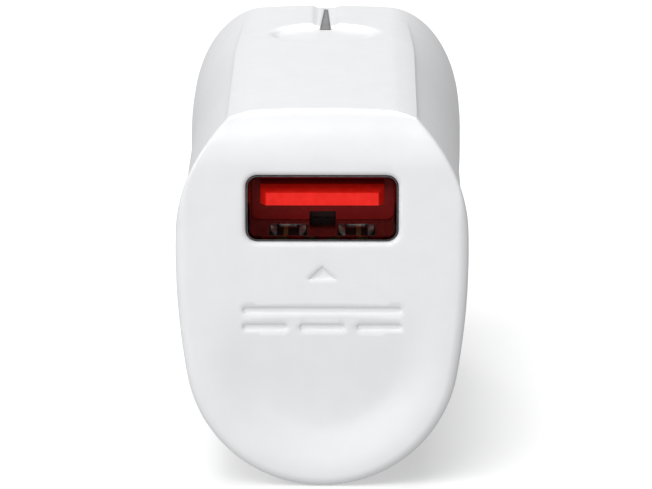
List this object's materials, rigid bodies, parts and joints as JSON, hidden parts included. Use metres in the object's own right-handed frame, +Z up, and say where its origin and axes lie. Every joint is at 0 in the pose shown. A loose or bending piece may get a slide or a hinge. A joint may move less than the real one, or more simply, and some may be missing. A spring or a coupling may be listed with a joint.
{
  "type": "usb wall charger",
  "caption": "Compact mains adapter with a rounded white case, one USB type A socket in its end face and round sleeved plug pins at the other end.",
  "frame": {"origin": "centre of the flat plug face, halfway between the two pins", "axes": "+Y along the pins into the wall socket, -Y towards the USB socket, +Z up to the flat top panel, +X across"},
  "size_m": [0.0254, 0.08, 0.033],
  "materials": {
    "white_plastic": "satin",
    "cap_plastic": "satin",
    "grey_plastic": "matte",
    "pin_metal": "polished",
    "sleeve_plastic": "satin",
    "wire_insulation": "satin",
    "shell_steel": "satin",
    "spring_steel": "satin",
    "red_plastic": "satin",
    "contact_gold": "polished",
    "board": "satin",
    "ferrite": "matte",
    "bobbin_plastic": "matte",
    "copper_wire": "satin",
    "tape": "satin",
    "tinned_copper": "satin",
    "can_sleeve": "satin",
    "chip_epoxy": "matte",
    "resistor_body": "matte",
    "disc_ceramic": "satin",
    "chip_ceramic": "matte",
    "film": "satin",
    "silicone": "matte"
  },
  "bodies": {
    "charger": {"housing": "white_plastic", "plug_cap": "cap_plastic", "slot_insert": "grey_plastic", "pin_line": "pin_metal", "pin_neutral": "pin_metal", "pin_sleeve_line": "sleeve_plastic", "pin_sleeve_neutral": "sleeve_plastic", "pin_lead_line": "wire_insulation", "pin_lead_neutral": "wire_insulation", "port_shell": "shell_steel", "port_tongue": "red_plastic", "contact_tails": "contact_gold", "main_board": "board", "transformer_core_front": "ferrite", "transformer_core_rear": "ferrite", "transformer_bobbin": "bobbin_plastic", "primary_winding": "copper_wire", "secondary_winding": "copper_wire", "winding_tape": "tape", "transformer_pins": "tinned_copper", "input_capacitor_left": "can_sleeve", "input_capacitor_right": "can_sleeve", "output_capacitor_left": "can_sleeve", "output_capacitor_right": "can_sleeve", "bridge_rectifier": "chip_epoxy", "fuse_resistor": "resistor_body", "input_choke": "ferrite", "input_choke_winding": "copper_wire", "switching_controller": "chip_epoxy", "switching_transistor": "chip_epoxy", "optocoupler": "chip_epoxy", "safety_capacitor": "disc_ceramic", "output_rectifier": "chip_epoxy", "charge_controller": "chip_epoxy", "chip_resistors": "chip_epoxy", "chip_capacitors": "chip_ceramic", "insulation_sheet": "film", "thermal_pad": "silicone"},
    "port_spring_left": {"port_spring_left": "spring_steel"},
    "port_spring_right": {"port_spring_right": "spring_steel"},
    "contact_power": {"contact_power": "contact_gold"},
    "contact_data_minus": {"contact_data_minus": "contact_gold"},
    "contact_data_plus": {"contact_data_plus": "contact_gold"},
    "contact_ground": {"contact_ground": "contact_gold"}
  },
  "joints": [
    {"name": "port_spring_left_flex", "type": "hinge", "parent": "charger", "child": "port_spring_left", "pos_m": [-0.00295, -0.05483, 0.00546], "axis": [1, 0, 0], "range_deg": [0, 10.5], "stiffness_Nm_per_rad": 0.045},
    {"name": "port_spring_right_flex", "type": "hinge", "parent": "charger", "child": "port_spring_right", "pos_m": [0.00295, -0.05483, 0.00546], "axis": [1, 0, 0], "range_deg": [0, 10.5], "stiffness_Nm_per_rad": 0.045},
    {"name": "contact_power_flex", "type": "hinge", "parent": "charger", "child": "contact_power", "pos_m": [-0.0035, -0.0534, 0.00852], "axis": [-1, 0, 0], "range_deg": [0, 4], "stiffness_Nm_per_rad": 0.05},
    {"name": "contact_data_minus_flex", "type": "hinge", "parent": "charger", "child": "contact_data_minus", "pos_m": [-0.001, -0.0534, 0.00852], "axis": [-1, 0, 0], "range_deg": [0, 4], "stiffness_Nm_per_rad": 0.05},
    {"name": "contact_data_plus_flex", "type": "hinge", "parent": "charger", "child": "contact_data_plus", "pos_m": [0.001, -0.0534, 0.00852], "axis": [-1, 0, 0], "range_deg": [0, 4], "stiffness_Nm_per_rad": 0.05},
    {"name": "contact_ground_flex", "type": "hinge", "parent": "charger", "child": "contact_ground", "pos_m": [0.0035, -0.0534, 0.00852], "axis": [-1, 0, 0], "range_deg": [0, 4], "stiffness_Nm_per_rad": 0.05}
  ]
}
